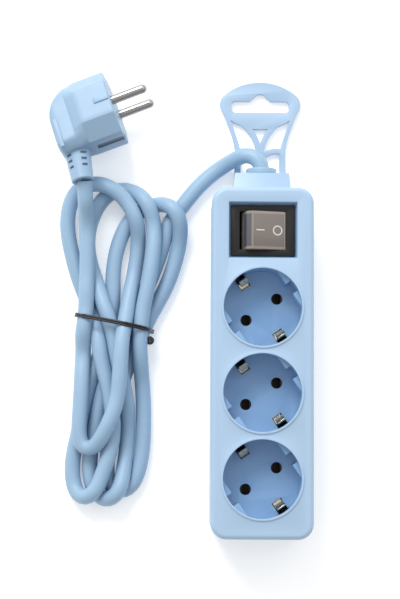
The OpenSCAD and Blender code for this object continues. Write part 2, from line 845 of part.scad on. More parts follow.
module plug_pins() color("#d5d8dc") at_plug() for (s = [-1, 1])
    translate([0, 0, s * pin_pitch / 2]) {
        along_x(-bridge_t, eps, shank_r);
        along_x(0, plug_pin_l - plug_pin_d / 2, plug_pin_d / 2);
        translate([plug_pin_l - plug_pin_d / 2, 0, 0]) sphere(d = plug_pin_d);
    }

module plug_earth_contacts() color("#b7babd") at_plug()
    earth_pad(0.8, earth_pad_l - 0.6, earth_pad_w - 0.4);

module plug_earth_sleeve() color("#b7babd") at_plug() translate([0, earth_hole_y, 0])
    difference() {
        along_x(-bridge_t, -0.3, earth_hole_r + 0.4);
        along_x(-bridge_t + 0.8, 1, earth_hole_r);
    }

top_cover();
base_shell();
housing_screws();
cord_bushing();
inner_sheath();
cord_clamp();
clamp_screws();
live_bar();
neutral_bar();
earth_bar();
earth_clip(0);  // earth_clip_1
earth_clip(1);  // earth_clip_2
earth_clip(2);  // earth_clip_3
earth_rivets();
switch_housing();
rocker();
plungers();
plunger_springs();
seesaw_contacts();
switch_terminals();
indicator_lamp();
live_wire();
neutral_wire();
earth_wire();
switched_live_wire();
switched_neutral_wire();
cord_lead();
cord_hank();
cord_tail();
cord_tie();
plug_body();
plug_bridge();
plug_pins();
plug_earth_contacts();
plug_earth_sleeve();
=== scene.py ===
"""Looks of a three-way socket block with a rocker switch, hang tab, tied lead and angled plug."""

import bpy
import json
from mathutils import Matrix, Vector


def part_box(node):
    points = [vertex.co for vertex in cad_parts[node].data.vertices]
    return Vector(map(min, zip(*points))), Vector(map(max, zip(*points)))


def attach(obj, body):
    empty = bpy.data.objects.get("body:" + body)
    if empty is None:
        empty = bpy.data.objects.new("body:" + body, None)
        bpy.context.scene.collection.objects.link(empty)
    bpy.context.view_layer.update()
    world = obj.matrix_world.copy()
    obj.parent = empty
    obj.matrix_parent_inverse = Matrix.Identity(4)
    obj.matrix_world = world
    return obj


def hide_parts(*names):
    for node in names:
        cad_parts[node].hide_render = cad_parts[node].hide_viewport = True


bl_info = {
    "name": "Socket block with a tied lead",
    "version": (1, 0, 0),
    "blender": (4, 5, 0),
    "location": "3D View > Sidebar > Socket block",
    "description": "Finishes the packed socket block: cord, tie, plug, switch, housing and studio",
    "category": "Object",
}

import json
import math

import bmesh
import bpy
import numpy as np
from mathutils import Matrix, Vector

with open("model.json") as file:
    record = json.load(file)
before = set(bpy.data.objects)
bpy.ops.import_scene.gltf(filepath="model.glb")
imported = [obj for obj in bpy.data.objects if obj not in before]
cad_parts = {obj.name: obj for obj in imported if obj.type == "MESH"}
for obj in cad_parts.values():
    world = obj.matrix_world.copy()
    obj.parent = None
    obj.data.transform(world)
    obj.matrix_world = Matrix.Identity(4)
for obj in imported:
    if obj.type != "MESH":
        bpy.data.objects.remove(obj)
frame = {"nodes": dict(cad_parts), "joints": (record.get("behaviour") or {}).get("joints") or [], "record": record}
MM = 0.001


# Where things are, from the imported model

def mount(name):
    return next(m for m in frame["record"]["mounts"] if m["name"] == name)


def joint(name):
    return next(j for j in frame["joints"] if j["name"] == name)


# Shader maths written as expressions

class Field:
    """A value or colour that varies over a surface, so that maths on it reads as arithmetic."""

    def __init__(self, finish, socket):
        self.finish = finish
        self.socket = socket

    def maths(self, operation, *values):
        inputs = dict(enumerate(values))
        return self.finish.node("ShaderNodeMath", {"operation": operation}, inputs)

    def __add__(self, other):
        return self.maths("ADD", self, other)

    def __mul__(self, other):
        return self.maths("MULTIPLY", self, other)

    def __sub__(self, other):
        return self.maths("SUBTRACT", self, other)

    def __gt__(self, other):
        return self.maths("GREATER_THAN", self, other)

    def __lt__(self, other):
        return self.maths("LESS_THAN", self, other)

    def __abs__(self):
        return self.maths("ABSOLUTE", self)

    def axis(self, name):
        return self.finish.node("ShaderNodeSeparateXYZ", {}, {"Vector": self}, name)


class Wiring:
    """A node tree and the shader that its values feed."""

    def __init__(self, tree, shader):
        self.nodes = tree.nodes
        self.links = tree.links
        self.shader = self.nodes[shader]

    def set(self, label, value):
        socket = self.shader.inputs[label]
        if isinstance(value, Field):
            self.links.new(value.socket, socket)
        else:
            socket.default_value = value

    def node(self, kind, settings=None, inputs=None, output=0):
        """A node of that kind; its settings come first, then the values or links of its sockets."""
        made = self.nodes.new(kind)
        for name, value in (settings or {}).items():
            setattr(made, name, value)
        for label, value in (inputs or {}).items():
            if isinstance(value, Field):
                self.links.new(value.socket, made.inputs[label])
            else:
                made.inputs[label].default_value = value
        return Field(self, made.outputs[output])

    def mix(self, factor, first, second):
        settings = {"data_type": "RGBA"}
        inputs = {0: factor, 6: first, 7: second}
        return self.node("ShaderNodeMix", settings, inputs, output=2)


class Finish(Wiring):
    """One material and its main shader."""

    def __init__(self, name, colour, roughness, **constants):
        self.material = bpy.data.materials.new(name)
        self.material.use_nodes = True
        super().__init__(self.material.node_tree, "Principled BSDF")
        self.set("Base Color", (*colour, 1.0))
        self.set("Roughness", roughness)
        for label, value in constants.items():
            self.set(label.replace("_", " "), value)

    def place(self):
        return self.node("ShaderNodeTexCoord", output="Object")

    def noise(self, size, detail=2.0, where=None):
        """Soft noise whose lumps are about that size, in metres."""
        inputs = {"Vector": where or self.place(), "Scale": 1.0 / size, "Detail": detail}
        return self.node("ShaderNodeTexNoise", {}, inputs)

    def cloudy(self, colour, contrast, size):
        """The colour, a little darker and lighter from place to place."""
        return self.mix(self.noise(size, 3.0), shade(colour, 1 - contrast),
                        shade(colour, 1 + contrast))

    def spread(self, value, low, high):
        """That value, from 0 to 1, moved to run from low to high."""
        return value * (high - low) + low

    def bump(self, height, depth, strength=1.0):
        inputs = {"Height": height, "Distance": depth, "Strength": strength}
        self.set("Normal", self.node("ShaderNodeBump", {}, inputs))


def shade(colour, factor):
    return (*(min(1.0, c * factor) for c in colour), 1.0)


def moulded(finish, roughness, grain, depth):
    """Gives a finish the uneven gloss and fine eroded grain of moulded plastic."""
    wiped = finish.noise(0.006, 4.0)
    finish.set("Roughness", finish.spread(wiped, roughness - 0.06, roughness + 0.08))
    finish.bump(finish.noise(grain), depth)


def plastic(name, colour, roughness, grain, depth, contrast=0.04, **constants):
    """Moulded plastic with a faint cloudy colour."""
    finish = Finish(name, colour, roughness, **constants)
    finish.set("Base Color", finish.cloudy(colour, contrast, 0.022))
    moulded(finish, roughness, grain, depth)
    return finish


def metal(name, colour, roughness, streak_axis, streak, contrast=0.08):
    """Plated or drawn metal, with fine streaks along one axis and a little tarnish."""
    finish = Finish(name, colour, roughness, Metallic=1.0)
    drawn_out = 0.06
    stretch = [drawn_out if axis == streak_axis else 1 for axis in "XYZ"]
    drawn = finish.node("ShaderNodeMapping", {}, {"Vector": finish.place(), "Scale": stretch})
    lines = finish.noise(streak, where=drawn)
    finish.set("Base Color", finish.cloudy(colour, contrast, 0.003))
    finish.set("Roughness", finish.spread(lines, roughness * 0.7, roughness * 1.4))
    finish.bump(lines, 0.00001, 0.4)
    return finish


def dress(obj, finish):
    obj.data.materials.clear()
    obj.data.materials.append(finish.material)


# Shared mesh work

def new_piece(name, shape, finish, body="root", smooth=30.0):
    """Turns a bmesh, in metres in the frame, into a piece that rides on a body."""
    bmesh.ops.recalc_face_normals(shape, faces=shape.faces)
    mesh = bpy.data.meshes.new(name)
    shape.to_mesh(mesh)
    shape.free()
    piece = bpy.data.objects.new(name, mesh)
    bpy.context.scene.collection.objects.link(piece)
    if smooth:
        mesh.shade_smooth()
        mesh.set_sharp_from_angle(angle=math.radians(smooth))
    dress(piece, finish)
    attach(piece, body)
    return piece


def bevel(shape, edges, width, segments=2):
    bmesh.ops.bevel(
        shape, geom=edges, offset=width, offset_type="OFFSET", segments=segments,
        profile=0.5, affect="EDGES", clamp_overlap=True, material=-1)


# What a rounded copy merges and rounds: how near two corners are the same, in metres, and in
# degrees how flat two faces are one, and how sharp an edge has to be
SAME_PLACE = 1e-6
SAME_FACE = 1.0
SHARP_EDGE = 35.0


def rounded_copy(node, name, finish, width, segments=2, body="root"):
    """A copy of a CAD node with its loose triangles merged and its sharp edges rounded."""
    shape = bmesh.new()
    shape.from_mesh(frame["nodes"][node].data)
    bmesh.ops.remove_doubles(shape, verts=shape.verts, dist=SAME_PLACE)
    bmesh.ops.dissolve_limit(shape, angle_limit=math.radians(SAME_FACE), verts=shape.verts,
                             edges=shape.edges, delimit={"NORMAL"})
    limit = math.radians(SHARP_EDGE)
    edges = [e for e in shape.edges if e.is_manifold and e.calc_face_angle(0.0) > limit]
    bevel(shape, edges, width, segments)
    piece = new_piece(name, shape, finish, body)
    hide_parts(node)
    return piece


# Sizes and colours that a user may change

class CordSettings(bpy.types.PropertyGroup):
    diameter: bpy.props.FloatProperty(
        name="Cord diameter", description="Outer diameter of the cord's sheath",
        default=0.008, min=0.006, max=0.01, unit="LENGTH")
    length: bpy.props.FloatProperty(
        name="Cord length", description="Length of the cord between the block and the plug",
        default=1.4, unit="LENGTH")
    passes: bpy.props.IntProperty(
        name="Settling passes", description="Steps in which the turns sink onto each other",
        default=900, min=100)
    colour: bpy.props.FloatVectorProperty(
        name="Cord colour", description="Colour of the soft sheath",
        default=(0.29, 0.435, 0.59), size=3, subtype="COLOR")
    tie_wire: bpy.props.FloatProperty(
        name="Tie wire", description="Diameter of the coated wire that ties the turns",
        default=0.0012, unit="LENGTH")
    tie_colour: bpy.props.FloatVectorProperty(
        name="Tie colour", description="Colour of the tie's coating",
        default=(0.018, 0.016, 0.02), size=3, subtype="COLOR")


class HousingSettings(bpy.types.PropertyGroup):
    colour: bpy.props.FloatVectorProperty(
        name="Housing colour", description="Colour of the moulded housing",
        default=(0.37, 0.515, 0.685), size=3, subtype="COLOR")
    # Painted shade: the wells get a darker, more saturated colour than the housing, standing in for the shade and
    # bounced light inside them
    painted_well_shade: bpy.props.FloatVectorProperty(
        name="Well colour", description="Colour inside the wells, where light passes many times",
        default=(0.205, 0.37, 0.60), size=3, subtype="COLOR")
    edge: bpy.props.FloatProperty(
        name="Edge rounding", description="Rounding of the housing's small edges",
        default=0.00035, unit="LENGTH")


class SwitchSettings(bpy.types.PropertyGroup):
    smoke: bpy.props.FloatVectorProperty(
        name="Rocker colour", description="Colour of the smoked rocker",
        default=(0.165, 0.14, 0.125), size=3, subtype="COLOR")
    mark: bpy.props.FloatProperty(
        name="Mark width", description="Width of the lines of the two marks",
        default=0.0006, unit="LENGTH")
    ring: bpy.props.FloatProperty(
        name="Ring radius", description="Outer radius of the off mark",
        default=0.0025, unit="LENGTH")
    bar: bpy.props.FloatProperty(
        name="Bar length", description="Length of the on mark",
        default=0.0042, unit="LENGTH")


class PlugSettings(bpy.types.PropertyGroup):
    colour: bpy.props.FloatVectorProperty(
        name="Plug colour", description="Colour of the soft plug body",
        default=(0.295, 0.435, 0.59), size=3, subtype="COLOR")


class StudioSettings(bpy.types.PropertyGroup):
    floor: bpy.props.FloatProperty(
        name="Floor shade", description="Brightness of the floor's surface",
        default=0.9, min=0.1, max=1.0, subtype="FACTOR")
    ambient: bpy.props.FloatProperty(
        name="Ambient light", description="Strength of the even light from all round",
        default=1.0, min=0.0)
    shade_side: bpy.props.FloatProperty(
        name="Shaded side", description="Light from the block's foot, as a share of the rest",
        default=0.4, min=0.0, max=1.0, subtype="FACTOR")
    key: bpy.props.FloatProperty(
        name="Key light", description="Power of the large soft light",
        default=22.0, unit="POWER")


# The studio: floor, soft light and camera

class SOCKETBLOCK_OT_studio(bpy.types.Operator):
    """Adds the pale floor, the soft lights and the camera"""
    bl_idname = "socketblock.studio"
    bl_label = "Studio"

    CAMERA_PLACE = (-0.0394, -0.0749, 0.8628)
    CAMERA_TURN = (5.203, -0.599, 0.366)
    CAMERA_REACH = (0.01, 20.0)
    LENS = 100.13
    SENSOR = 36.0
    GLOW = 0.3
    # Just under the block's back, so that the two never lie in one plane
    FLOOR_Z = -0.0002
    FLOOR_HALF = 3.0
    AIM = (-0.03, -0.01, 0.0)
    KEY_PLACE = (-0.55, 1.3, 1.3)
    KEY_SIZE = 0.9
    FILL_PLACE = (0.9, 0.6, 1.3)
    FILL_SIZE = 1.2
    FILL_SHARE = 0.12
    # The way that the air is brightest, and how far along it the change runs
    AIR_WAY = (-0.35, 0.9, 0.25)
    AIR_RUN = 0.75

    def add_floor(self, shade_of_floor):
        shape = bmesh.new()
        bmesh.ops.create_grid(shape, x_segments=1, y_segments=1, size=self.FLOOR_HALF,
                              matrix=Matrix.Translation((0.0, 0.0, self.FLOOR_Z)))
        mesh = bpy.data.meshes.new("floor")
        shape.to_mesh(mesh)
        shape.free()
        floor = bpy.data.objects.new("floor", mesh)
        bpy.context.scene.collection.objects.link(floor)
        grey = (shade_of_floor,) * 3
        finish = Finish("floor_paper", grey, 0.9, Specular_IOR_Level=0.1,
                        Emission_Color=(1.0, 1.0, 1.0, 1.0), Emission_Strength=self.GLOW)
        speckle = finish.noise(0.05)
        finish.set("Roughness", finish.spread(speckle, 0.85, 0.95))
        dress(floor, finish)

    def add_light(self, name, place, size, power):
        light = bpy.data.lights.new(name, "AREA")
        light.shape = "DISK"
        light.size = size
        light.energy = power
        lamp = bpy.data.objects.new(name, light)
        lamp.location = place
        aim = Vector(self.AIM) - Vector(place)
        lamp.rotation_euler = aim.to_track_quat("-Z", "Y").to_euler()
        bpy.context.scene.collection.objects.link(lamp)

    def add_camera(self):
        camera = bpy.data.cameras.new("camera")
        camera.sensor_width = self.SENSOR
        camera.lens = self.LENS
        camera.clip_start, camera.clip_end = self.CAMERA_REACH
        seat = bpy.data.objects.new("camera", camera)
        seat.location = self.CAMERA_PLACE
        seat.rotation_euler = [math.radians(a) for a in self.CAMERA_TURN]
        bpy.context.scene.collection.objects.link(seat)
        bpy.context.scene.camera = seat

    def add_air(self, settings):
        """Even light, brighter from the block's tab end than from its foot."""
        world = bpy.data.worlds.new("studio_air")
        world.use_nodes = True
        air = Wiring(world.node_tree, "Background")
        air.set("Color", (1.0, 1.0, 1.0, 1.0))
        way = air.node("ShaderNodeTexCoord", output="Generated")
        upward = air.node("ShaderNodeVectorMath", {"operation": "DOT_PRODUCT"},
                          {0: way, 1: self.AIR_WAY}, "Value")
        share = air.node("ShaderNodeMapRange", {}, {
            "Value": upward, "From Min": -self.AIR_RUN, "From Max": self.AIR_RUN,
            "To Min": settings.shade_side, "To Max": 1.0})
        air.set("Strength", share * settings.ambient)
        bpy.context.scene.world = world

    def execute(self, context):
        settings = context.scene.block_studio
        self.add_camera()
        self.add_floor(settings.floor)
        self.add_light("key", self.KEY_PLACE, self.KEY_SIZE, settings.key)
        self.add_light("fill", self.FILL_PLACE, self.FILL_SIZE, settings.key * self.FILL_SHARE)
        self.add_air(settings)
        context.scene.view_settings.view_transform = "Standard"
        return {"FINISHED"}


# The cord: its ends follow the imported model's route, and its turns are laid on each other

LEAD = [
    (0, .0695, .017), (0, .0709, .017), (-.0012, .0734, .0168), (-.0036, .0758, .016),
    (-.0074, .077, .0146), (-.013, .0762, .0122), (-.019, .0732, .0092),
    (-.0245, .0695, .0066), (-.03, .0646, .0048), (-.0355, .0585, .0041),
    (-.041, .051, .0041), (-.047, .043, .0041),
]
TAIL = [
    (-.0897, .047, .0196), (-.0898, .051, .0203), (-.09, .055, .0211), (-.0904, .062, .0228),
]
# Each stretch of the turns: its name, how many cords it starts above, and its plan
TURNS = [
    ("first run down", 0, [
        (-.05, .033), (-.055, .018), (-.062, 0), (-.069, -.018), (-.076, -.035),
        (-.0815, -.051), (-.085, -.066), (-.0868, -.077), (-.0866, -.088),
    ]),
    ("first low bend", 0.6, [(-.0833, -.0972), (-.0777, -.1003)]),
    ("out of the low bend", 1.6, [(-.072, -.0974), (-.069, -.088)]),
    ("first run up", 2, [
        (-.068, -.076), (-.068, -.064), (-.0695, -.05), (-.0725, -.037), (-.0755, -.026),
        (-.077, -.014), (-.0805, -.002), (-.086, .013), (-.0895, .026), (-.0895, .038),
        (-.086, .049), (-.0805, .0573), (-.0745, .0605), (-.0682, .06),
    ]),
    ("second run down", 2, [
        (-.0615, .0565), (-.0566, .0492), (-.0545, .039), (-.0545, .03), (-.0568, .014),
        (-.0603, -.002), (-.062, -.015), (-.062, -.028), (-.0608, -.042), (-.0603, -.056),
        (-.061, -.072),
    ]),
    ("into the second low bend", 1, [(-.063, -.082), (-.0662, -.0918)]),
    ("second low bend", 0.3, [(-.0708, -.0965), (-.076, -.096), (-.0795, -.0903)]),
    ("second run up", 1, [
        (-.0797, -.082), (-.0795, -.07), (-.0785, -.056), (-.076, -.042), (-.0715, -.026),
        (-.0645, -.013), (-.0575, -.002), (-.051, .008), (-.0465, .018), (-.043, .03),
        (-.042, .038), (-.0428, .0465), (-.0467, .0517), (-.052, .053),
    ]),
    ("third run down", 1, [
        (-.059, .0513), (-.066, .0463), (-.071, .039), (-.0743, .03), (-.0765, .019),
        (-.077, .005), (-.0768, -.008), (-.0795, -.021), (-.083, -.033), (-.0865, -.047),
        (-.089, -.059), (-.0915, -.069), (-.0943, -.079), (-.0945, -.0912),
    ]),
    ("third low bend", 1.5, [(-.0903, -.1012), (-.0838, -.0982)]),
    ("third run up", 2, [
        (-.0785, -.084), (-.0755, -.074), (-.074, -.063), (-.0745, -.051), (-.0763, -.04),
        (-.079, -.028), (-.0815, -.016), (-.0848, -.004), (-.0898, .008), (-.0942, .019),
        (-.0975, .03), (-.0995, .04), (-.099, .051), (-.096, .0588), (-.091, .0627),
    ]),
    ("last high bend", 2.5, [(-.0843, .063)]),
    ("last run down", 3, [
        (-.0772, .0603), (-.0708, .0555), (-.0655, .0475), (-.063, .038), (-.0632, .028),
        (-.0655, .01), (-.0685, -.005), (-.0707, -.018), (-.0712, -.032), (-.0718, -.045),
        (-.0745, -.057), (-.0797, -.0687),
    ]),
    ("last run up", 3, [
        (-.0842, -.0752), (-.0872, -.0772), (-.0903, -.0755), (-.0914, -.067), (-.0902, -.05),
        (-.0885, -.03), (-.0872, -.012), (-.0871, .004), (-.088, .02), (-.0888, .036),
    ]),
]
CORD_STEP = 0.002
TIGHTEST = 0.008
OPENING_PASSES = 400
LAST_PASSES = 60
LAYER = 1.075
FLOOR_ROOM = 0.0002


def smooth_line(points, step):
    """Points at even steps, seen from above, along a smooth curve through the given ones."""
    given = np.array(points, float)
    given = np.vstack([2 * given[0] - given[1], given, 2 * given[-1] - given[-2]])
    found = []
    for a, b, c, d in zip(given, given[1:], given[2:], given[3:]):
        t = np.linspace(0, 1, max(2, int(np.linalg.norm(c - b) / step * 4)), endpoint=False)
        t = t[:, None]
        found.append(0.5 * (2 * b + (c - a) * t + (2 * a - 5 * b + 4 * c - d) * t ** 2
                            + (3 * b - a - 3 * c + d) * t ** 3))
    line = np.vstack([*found, given[-2][None]])
    gone = np.r_[0, np.cumsum(np.linalg.norm(np.diff(line[:, :2], axis=0), axis=1))]
    stations = np.linspace(0, gone[-1], int(round(gone[-1] / step)) + 1)
    return np.stack([np.interp(stations, gone, line[:, k]) for k in range(3)], 1)


def round_bends(line, radius, passes):
    """Opens, in plan, every bend that is tighter than the radius."""
    tight = CORD_STEP ** 2 / radius
    for _ in range(passes):
        bow = line[:-2, :2] + line[2:, :2] - 2 * line[1:-1, :2]
        size = np.linalg.norm(bow, axis=1)[:, None] + 1e-12
        line[1:-1, :2] += 0.25 * bow * np.maximum(0, size - tight) / size
    return line


class Settling:
    """Lets the cord's turns sink onto the floor and each other, with their order kept."""

    # A pass's fall and its pull back to the plan, and the points that are held at each end
    FALL = 0.00006
    HOLD = 0.015
    HEAD = 8
    FOOT = 6
    # How far off, in diameters, two points are neighbours, and how far apart along the cord
    NEAR = 1.6
    APART = 2.2
    RENEW = 25
    SLOW_AFTER = 0.8
    STIFF_PASSES = 3
    STIFF = 0.4
    EVEN_PASSES = 9
    EVEN = 0.24
    PUSHES = 3
    PUSH = 1.3
    LAST_PASSES = 9

    def __init__(self, plan, diameter):
        self.plan = plan
        self.line = plan.copy()
        self.diameter = diameter
        self.free = np.ones((len(plan), 1))
        self.free[:self.HEAD] = 0
        self.free[-self.FOOT:] = 0
        self.apart = int(self.APART * diameter / CORD_STEP)

    def find_neighbours(self):
        gaps = ((self.line[:, None, :] - self.line[None, :, :]) ** 2).sum(-1)
        first, second = np.nonzero(gaps < (self.NEAR * self.diameter) ** 2)
        far = second - first > self.apart
        self.first, self.second = first[far], second[far]

    def sink(self, fall):
        self.line[:, 2:] -= fall * self.free
        self.line[:, :2] += self.HOLD * (self.plan - self.line)[:, :2] * self.free

    def stiffen(self):
        """Spreads each push along the cord: evenly in plan, and as a bent rod in height."""
        flat = self.plan * [1, 1, 0]
        off = self.line - flat
        for _ in range(self.STIFF_PASSES):
            even = off.copy()
            even[2:-2] = (4 * (off[1:-3] + off[3:-1]) - (off[:-4] + off[4:])) / 6
            off += self.STIFF * (even - off) * self.free
        for _ in range(self.EVEN_PASSES):
            pull = off[:-2] + off[2:] - 2 * off[1:-1]
            off[1:-1, :2] += (self.EVEN * pull * self.free[1:-1])[:, :2]
        self.line = off + flat

    def push_apart(self):
        across = self.line[self.first] - self.line[self.second]
        distance = np.linalg.norm(across, axis=1) + 1e-12
        short = self.diameter - distance
        hit = short > 0
        push = across[hit] * (0.5 * short[hit] / distance[hit])[:, None]
        move = np.zeros_like(self.line)
        count = np.zeros(len(self.line))
        for ends, sign in ((self.first[hit], 1), (self.second[hit], -1)):
            np.add.at(move, ends, sign * push)
            np.add.at(count, ends, 1)
        self.line += self.PUSH * move / np.maximum(1, count)[:, None] * self.free
        floor = np.where(self.free[:, 0] > 0, self.diameter / 2, self.line[:, 2])
        self.line[:, 2] = np.maximum(self.line[:, 2], floor)

    def run(self, passes):
        for k in range(passes):
            if k % self.RENEW == 0:
                self.find_neighbours()
            self.sink(self.FALL if k < passes * self.SLOW_AFTER else self.FALL / 3)
            self.stiffen()
            for _ in range(self.PUSHES):
                self.push_apart()
        for k in range(self.LAST_PASSES):
            middle = (self.line[:-2] + self.line[2:]) / 2 - self.line[1:-1]
            self.line[1:-1] += 0.5 * middle * self.free[1:-1]
            if k % 3 == 0:
                self.push_apart()
        return self.line


def settled_route(diameter, passes):
    """The cord's way from the block to the plug, with its turns laid on each other."""
    turns = [(x, y, diameter / 2 + FLOOR_ROOM + layer * diameter * LAYER)
             for _, layer, plan in TURNS for x, y in plan]
    plan = round_bends(smooth_line(LEAD + turns + TAIL, CORD_STEP), TIGHTEST,
                       OPENING_PASSES)
    settled = Settling(smooth_line(plan, CORD_STEP), diameter).run(passes)
    return smooth_line(round_bends(settled, TIGHTEST, LAST_PASSES), CORD_STEP)


def add_wire(name, points, diameter, finish, closed=False, sides=3):
    """A round wire along the points, as one curve."""
    data = bpy.data.curves.new(name, "CURVE")
    data.dimensions = "3D"
    data.bevel_depth = diameter / 2
    data.bevel_resolution = sides
    data.use_fill_caps = not closed
    spline = data.splines.new("POLY")
    spline.points.add(len(points) - 1)
    for knot, point in zip(spline.points, points):
        knot.co = (*point, 1.0)
    spline.use_cyclic_u = closed
    spline.use_smooth = True
    wire = bpy.data.objects.new(name, data)
    bpy.context.scene.collection.objects.link(wire)
    dress(wire, finish)
    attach(wire, "root")
    return wire


def sheath_finish(name, colour):
    """Soft sheath: a waxy gloss, a faint cloudy colour and small scuffs."""
    return plastic(name, colour, 0.42, 0.0009, 0.00003, 0.05, Specular_IOR_Level=0.45)


class SOCKETBLOCK_OT_cord(bpy.types.Operator):
    """Adds the tied cord from the block to the plug"""
    bl_idname = "socketblock.cord"
    bl_label = "Cord"

    TIE_PLACE = (-0.0755, -0.0095)
    TIE_TURN = -11.0
    # How near the tie's plane and middle a point of the cord has to be to be tied
    TIE_HALF = (0.0015, 0.03)
    TIE_ROOM = 0.0002
    TIE_POINTS = 96
    TIE_SWAY = 0.00062
    TIE_PHASE = 0.4
    KNOT = (-0.0565, -0.0185, 0.0100)
    KNOT_R = 0.0016
    KNOT_POINTS = 96
    KNOT_TURNS = 4.5
    KNOT_END = 0.08
    KNOT_SWELL = 1.1

    def execute(self, context):
        settings = context.scene.block_cord
        route = settled_route(settings.diameter, settings.passes)
        finish = sheath_finish("cord_sheath", settings.colour)
        cord = add_wire("cord", route, settings.diameter, finish, sides=6)
        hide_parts("cord_lead", "cord_hank", "cord_tail")
        tie = self.add_tie(route, settings)
        return {"FINISHED"}

    def plug_pieces(self):
        made = [bpy.data.objects[name] for name in ("plug_shell", "plug_face")]
        return [*made, "plug_pins", "plug_earth_contacts", "plug_earth_sleeve"]

    def add_tie(self, route, settings):
        """A doubled wire drawn round the turns where they cross the tie's plane."""
        turn = math.radians(self.TIE_TURN)
        across = np.array([math.cos(turn), math.sin(turn), 0.0])
        along = np.array([-math.sin(turn), math.cos(turn), 0.0])
        start = np.array([*self.TIE_PLACE, 0.0])
        side = (route - start) @ along
        reach = (route - start) @ across
        thin, wide = self.TIE_HALF
        cuts = [k for k in range(len(route)) if abs(side[k]) < thin and abs(reach[k]) < wide]
        middles = np.array([[reach[k], route[k, 2]] for k in cuts])
        wrap = (settings.diameter + settings.tie_wire) / 2 + self.TIE_ROOM
        ring = []
        for k in range(self.TIE_POINTS):
            angle = 2 * math.pi * k / self.TIE_POINTS
            out = np.array([math.cos(angle), math.sin(angle)])
            best = middles[np.argmax(middles @ out)] + wrap * out
            sway = self.TIE_SWAY * math.cos(angle * 2 + self.TIE_PHASE)
            ring.append((best, sway))
        finish = Finish("tie_coating", settings.tie_colour, 0.4)
        finish.set("Roughness", finish.spread(finish.noise(0.002), 0.3, 0.5))
        finish.bump(finish.noise(0.0007), 0.00004)
        wires = []
        for name, sign in (("tie_wire_a", 1), ("tie_wire_b", -1)):
            points = [start + across * best[0] + along * sway * sign
                      + np.array([0, 0, max(best[1], settings.tie_wire / 2)])
                      for best, sway in ring]
            wires.append(add_wire(name, points, settings.tie_wire, finish,
                                  closed=True))
        knot = self.add_knot(finish, settings.tie_wire)
        for wire in wires:
            wire.parent = knot
        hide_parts("cord_tie")
        return knot

    def add_knot(self, finish, wire):
        """The tie's twisted ends, rolled into a small ball."""
        points = []
        for k in range(self.KNOT_POINTS + 1):
            share = k / self.KNOT_POINTS
            polar = math.pi * (self.KNOT_END + (1 - 2 * self.KNOT_END) * share)
            angle = 2 * math.pi * self.KNOT_TURNS * share
            radius = self.KNOT_R * math.sin(polar)
            points.append((self.KNOT[0] + radius * math.cos(angle),
                           self.KNOT[1] + radius * math.sin(angle),
                           self.KNOT[2] + self.KNOT_R * math.cos(polar)))
        return add_wire("tie_knot", points, wire * self.KNOT_SWELL, finish)


# The housing: cover, base shell, bushing and what is seen inside

class SOCKETBLOCK_OT_housing(bpy.types.Operator):
    """Finishes the moulded housing, with its small edges rounded"""
    bl_idname = "socketblock.housing"
    bl_label = "Housing"

    # The painted well shade's reach, a darker colour in the wells: half its width and length, its upper limit,
    # how far its middle is from halfway between the base's foot and the switch, and how soft its borders are
    WELLS = (0.0212, 0.0825, 0.0385)
    WELLS_SHIFT = 0.0089
    SLOPE = 0.001
    GLOSS = 0.36
    BOOT_EDGE = 0.0006

    def shell_plastic(self, settings):
        """Moulded plastic with a polished face, and painted shade inside the wells: a darker, more saturated
        colour there.
        """
        shell = Finish("housing_plastic", settings.colour, self.GLOSS,
                       Specular_IOR_Level=0.5)
        moulded(shell, self.GLOSS, 0.0005, 0.000012)
        x, y, z = (shell.place().axis(name) for name in "XYZ")
        half_wide, half_long, face = self.WELLS
        foot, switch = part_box("base_shell")[0].y, joint("rocker_tip")["pos_m"][1]
        centre = (foot + switch) / 2 + self.WELLS_SHIFT
        inside = [
            shell.node("ShaderNodeMapRange", {"interpolation_type": "SMOOTHSTEP"}, {
                "Value": value, "From Min": edge - self.SLOPE, "From Max": edge + self.SLOPE,
                "To Min": 1.0, "To Max": 0.0})
            for value, edge in ((abs(x), half_wide), (abs(y - centre), half_long), (z, face))]
        # Painted shade: this mask covers the wells below the face, which take the darker well colour
        share = inside[0] * inside[1] * inside[2]
        pale = shell.cloudy(settings.colour, 0.025, 0.018)
        shell.set("Base Color", shell.mix(share, pale, (*settings.painted_well_shade, 1.0)))
        return shell

    def execute(self, context):
        settings = context.scene.block_housing
        shell = self.shell_plastic(settings)
        rounded_copy("top_cover", "cover", shell, settings.edge)
        rounded_copy("base_shell", "base", shell, settings.edge)
        boot = sheath_finish("bushing_sheath", context.scene.block_cord.colour)
        rounded_copy("cord_bushing", "bushing", boot, self.BOOT_EDGE, 3)
        return {"FINISHED"}


